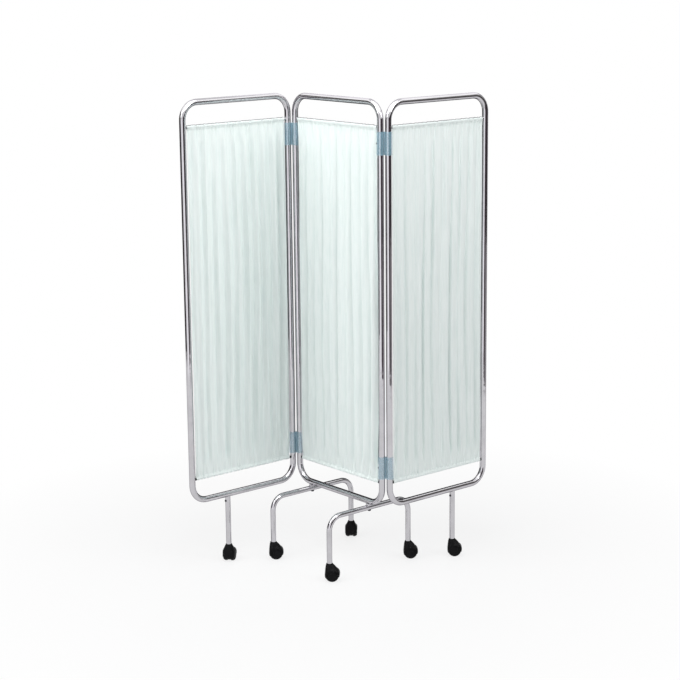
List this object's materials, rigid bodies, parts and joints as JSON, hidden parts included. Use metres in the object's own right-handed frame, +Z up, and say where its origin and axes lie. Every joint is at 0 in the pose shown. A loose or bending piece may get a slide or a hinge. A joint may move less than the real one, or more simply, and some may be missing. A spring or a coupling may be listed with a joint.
{
  "type": "ward privacy screen on wheels",
  "caption": "Folding ward privacy screen: chromed tube frames with gathered curtains, hinged in a zigzag, standing on tube feet and legs with swivelling casters.",
  "frame": {"origin": "on the floor, under the centre of the middle panel, which is also the centre of the whole screen's base", "axes": "+Z up; the middle panel stands in the XZ plane with +X towards its right upright; the left wing folds towards -Y and the right wing towards +Y"},
  "size_m": [0.5798, 0.9794, 1.6856],
  "materials": {
    "chrome_tube": "bright chrome plate on bent steel tube",
    "rod_steel": "bright drawn wire rod",
    "fastener_steel": "zinc-plated screws, bolts, axles and stems",
    "curtain_cloth": "thin woven cotton in pale mint white, gathered on rods",
    "hinge_plastic": "semi-gloss moulded plastic in pale blue",
    "caster_plastic": "satin black moulded nylon"
  },
  "bodies": {
    "middle": {"middle_frame": "chrome_tube", "middle_curtain": "curtain_cloth", "middle_top_rod": "rod_steel", "middle_bottom_rod": "rod_steel", "left_foot": "chrome_tube", "right_foot": "chrome_tube", "left_foot_bolt": "fastener_steel", "right_foot_bolt": "fastener_steel", "left_front_caster_stem": "fastener_steel", "left_rear_caster_stem": "fastener_steel", "right_front_caster_stem": "fastener_steel", "right_rear_caster_stem": "fastener_steel"},
    "left_clips": {"left_lower_hinge_clip": "hinge_plastic", "left_lower_clip_screw": "fastener_steel", "left_upper_hinge_clip": "hinge_plastic", "left_upper_clip_screw": "fastener_steel"},
    "left_wing": {"left_wing_frame": "chrome_tube", "left_wing_curtain": "curtain_cloth", "left_wing_top_rod": "rod_steel", "left_wing_bottom_rod": "rod_steel", "left_wing_leg": "chrome_tube", "left_wing_leg_screw": "fastener_steel", "left_wing_caster_stem": "fastener_steel"},
    "right_clips": {"right_lower_hinge_clip": "hinge_plastic", "right_lower_clip_screw": "fastener_steel", "right_upper_hinge_clip": "hinge_plastic", "right_upper_clip_screw": "fastener_steel"},
    "right_wing": {"right_wing_frame": "chrome_tube", "right_wing_curtain": "curtain_cloth", "right_wing_top_rod": "rod_steel", "right_wing_bottom_rod": "rod_steel", "right_wing_leg": "chrome_tube", "right_wing_leg_screw": "fastener_steel", "right_wing_caster_stem": "fastener_steel"},
    "left_front_caster_swivel": {"left_front_caster_hood": "caster_plastic", "left_front_caster_axle": "fastener_steel"},
    "left_front_caster_wheel_a": {"left_front_caster_wheel_a": "caster_plastic"},
    "left_front_caster_wheel_b": {"left_front_caster_wheel_b": "caster_plastic"},
    "left_rear_caster_swivel": {"left_rear_caster_hood": "caster_plastic", "left_rear_caster_axle": "fastener_steel"},
    "left_rear_caster_wheel_a": {"left_rear_caster_wheel_a": "caster_plastic"},
    "left_rear_caster_wheel_b": {"left_rear_caster_wheel_b": "caster_plastic"},
    "right_front_caster_swivel": {"right_front_caster_hood": "caster_plastic", "right_front_caster_axle": "fastener_steel"},
    "right_front_caster_wheel_a": {"right_front_caster_wheel_a": "caster_plastic"},
    "right_front_caster_wheel_b": {"right_front_caster_wheel_b": "caster_plastic"},
    "right_rear_caster_swivel": {"right_rear_caster_hood": "caster_plastic", "right_rear_caster_axle": "fastener_steel"},
    "right_rear_caster_wheel_a": {"right_rear_caster_wheel_a": "caster_plastic"},
    "right_rear_caster_wheel_b": {"right_rear_caster_wheel_b": "caster_plastic"},
    "left_wing_caster_swivel": {"left_wing_caster_hood": "caster_plastic", "left_wing_caster_axle": "fastener_steel"},
    "left_wing_caster_wheel_a": {"left_wing_caster_wheel_a": "caster_plastic"},
    "left_wing_caster_wheel_b": {"left_wing_caster_wheel_b": "caster_plastic"},
    "right_wing_caster_swivel": {"right_wing_caster_hood": "caster_plastic", "right_wing_caster_axle": "fastener_steel"},
    "right_wing_caster_wheel_a": {"right_wing_caster_wheel_a": "caster_plastic"},
    "right_wing_caster_wheel_b": {"right_wing_caster_wheel_b": "caster_plastic"}
  },
  "joints": [
    {"name": "left_clips_turn", "type": "hinge", "parent": "middle", "child": "left_clips", "pos_m": [-0.23, 0, 0.965], "axis": [0, 0, 1], "range_deg": [-45, 45]},
    {"name": "left_wing_turn", "type": "hinge", "parent": "left_clips", "child": "left_wing", "pos_m": [-0.24909, -0.01909, 0.965], "axis": [0, 0, 1], "range_deg": [-45, 45]},
    {"name": "right_clips_turn", "type": "hinge", "parent": "middle", "child": "right_clips", "pos_m": [0.23, 0, 0.965], "axis": [0, 0, 1], "range_deg": [-45, 45]},
    {"name": "right_wing_turn", "type": "hinge", "parent": "right_clips", "child": "right_wing", "pos_m": [0.24909, 0.01909, 0.965], "axis": [0, 0, 1], "range_deg": [-45, 45]},
    {"name": "left_front_caster_swivel_turn", "type": "hinge", "parent": "middle", "child": "left_front_caster_swivel", "pos_m": [-0.16, -0.187, 0.05], "axis": [0, 0, 1], "continuous": true},
    {"name": "left_front_caster_wheel_a_spin", "type": "hinge", "parent": "left_front_caster_swivel", "child": "left_front_caster_wheel_a", "pos_m": [-0.16577, -0.17107, 0.02354], "axis": [-0.788, 0.6157, 0], "continuous": true},
    {"name": "left_front_caster_wheel_b_spin", "type": "hinge", "parent": "left_front_caster_swivel", "child": "left_front_caster_wheel_b", "pos_m": [-0.14315, -0.18874, 0.02354], "axis": [-0.788, 0.6157, 0], "continuous": true},
    {"name": "left_rear_caster_swivel_turn", "type": "hinge", "parent": "middle", "child": "left_rear_caster_swivel", "pos_m": [-0.16, 0.187, 0.05], "axis": [0, 0, 1], "continuous": true},
    {"name": "left_rear_caster_wheel_a_spin", "type": "hinge", "parent": "left_rear_caster_swivel", "child": "left_rear_caster_wheel_a", "pos_m": [-0.17629, 0.18236, 0.02354], "axis": [-0.6691, -0.7431, 0], "continuous": true},
    {"name": "left_rear_caster_wheel_b_spin", "type": "hinge", "parent": "left_rear_caster_swivel", "child": "left_rear_caster_wheel_b", "pos_m": [-0.15709, 0.20369, 0.02354], "axis": [-0.6691, -0.7431, 0], "continuous": true},
    {"name": "right_front_caster_swivel_turn", "type": "hinge", "parent": "middle", "child": "right_front_caster_swivel", "pos_m": [0.16, -0.187, 0.05], "axis": [0, 0, 1], "continuous": true},
    {"name": "right_front_caster_wheel_a_spin", "type": "hinge", "parent": "right_front_caster_swivel", "child": "right_front_caster_wheel_a", "pos_m": [0.15593, -0.17056, 0.02354], "axis": [-0.7193, 0.6947, 0], "continuous": true},
    {"name": "right_front_caster_wheel_b_spin", "type": "hinge", "parent": "right_front_caster_swivel", "child": "right_front_caster_wheel_b", "pos_m": [0.17657, -0.19049, 0.02354], "axis": [-0.7193, 0.6947, 0], "continuous": true},
    {"name": "right_rear_caster_swivel_turn", "type": "hinge", "parent": "middle", "child": "right_rear_caster_swivel", "pos_m": [0.16, 0.187, 0.05], "axis": [0, 0, 1], "continuous": true},
    {"name": "right_rear_caster_wheel_a_spin", "type": "hinge", "parent": "right_rear_caster_swivel", "child": "right_rear_caster_wheel_a", "pos_m": [0.15479, 0.20312, 0.02354], "axis": [-0.766, 0.6428, 0], "continuous": true},
    {"name": "right_rear_caster_wheel_b_spin", "type": "hinge", "parent": "right_rear_caster_swivel", "child": "right_rear_caster_wheel_b", "pos_m": [0.17678, 0.18467, 0.02354], "axis": [-0.766, 0.6428, 0], "continuous": true},
    {"name": "left_wing_caster_swivel_turn", "type": "hinge", "parent": "left_wing", "child": "left_wing_caster_swivel", "pos_m": [-0.24909, -0.32409, 0.05], "axis": [0, 0, 1], "continuous": true},
    {"name": "left_wing_caster_wheel_a_spin", "type": "hinge", "parent": "left_wing_caster_swivel", "child": "left_wing_caster_wheel_a", "pos_m": [-0.26578, -0.32701, 0.02354], "axis": [-0.7431, -0.6691, 0], "continuous": true},
    {"name": "left_wing_caster_wheel_b_spin", "type": "hinge", "parent": "left_wing_caster_swivel", "child": "left_wing_caster_wheel_b", "pos_m": [-0.24445, -0.3078, 0.02354], "axis": [-0.7431, -0.6691, 0], "continuous": true},
    {"name": "right_wing_caster_swivel_turn", "type": "hinge", "parent": "right_wing", "child": "right_wing_caster_swivel", "pos_m": [0.24909, 0.32409, 0.05], "axis": [0, 0, 1], "continuous": true},
    {"name": "right_wing_caster_wheel_a_spin", "type": "hinge", "parent": "right_wing_caster_swivel", "child": "right_wing_caster_wheel_a", "pos_m": [0.24445, 0.34038, 0.02354], "axis": [-0.7431, 0.6691, 0], "continuous": true},
    {"name": "right_wing_caster_wheel_b_spin", "type": "hinge", "parent": "right_wing_caster_swivel", "child": "right_wing_caster_wheel_b", "pos_m": [0.26578, 0.32118, 0.02354], "axis": [-0.7431, 0.6691, 0], "continuous": true}
  ]
}
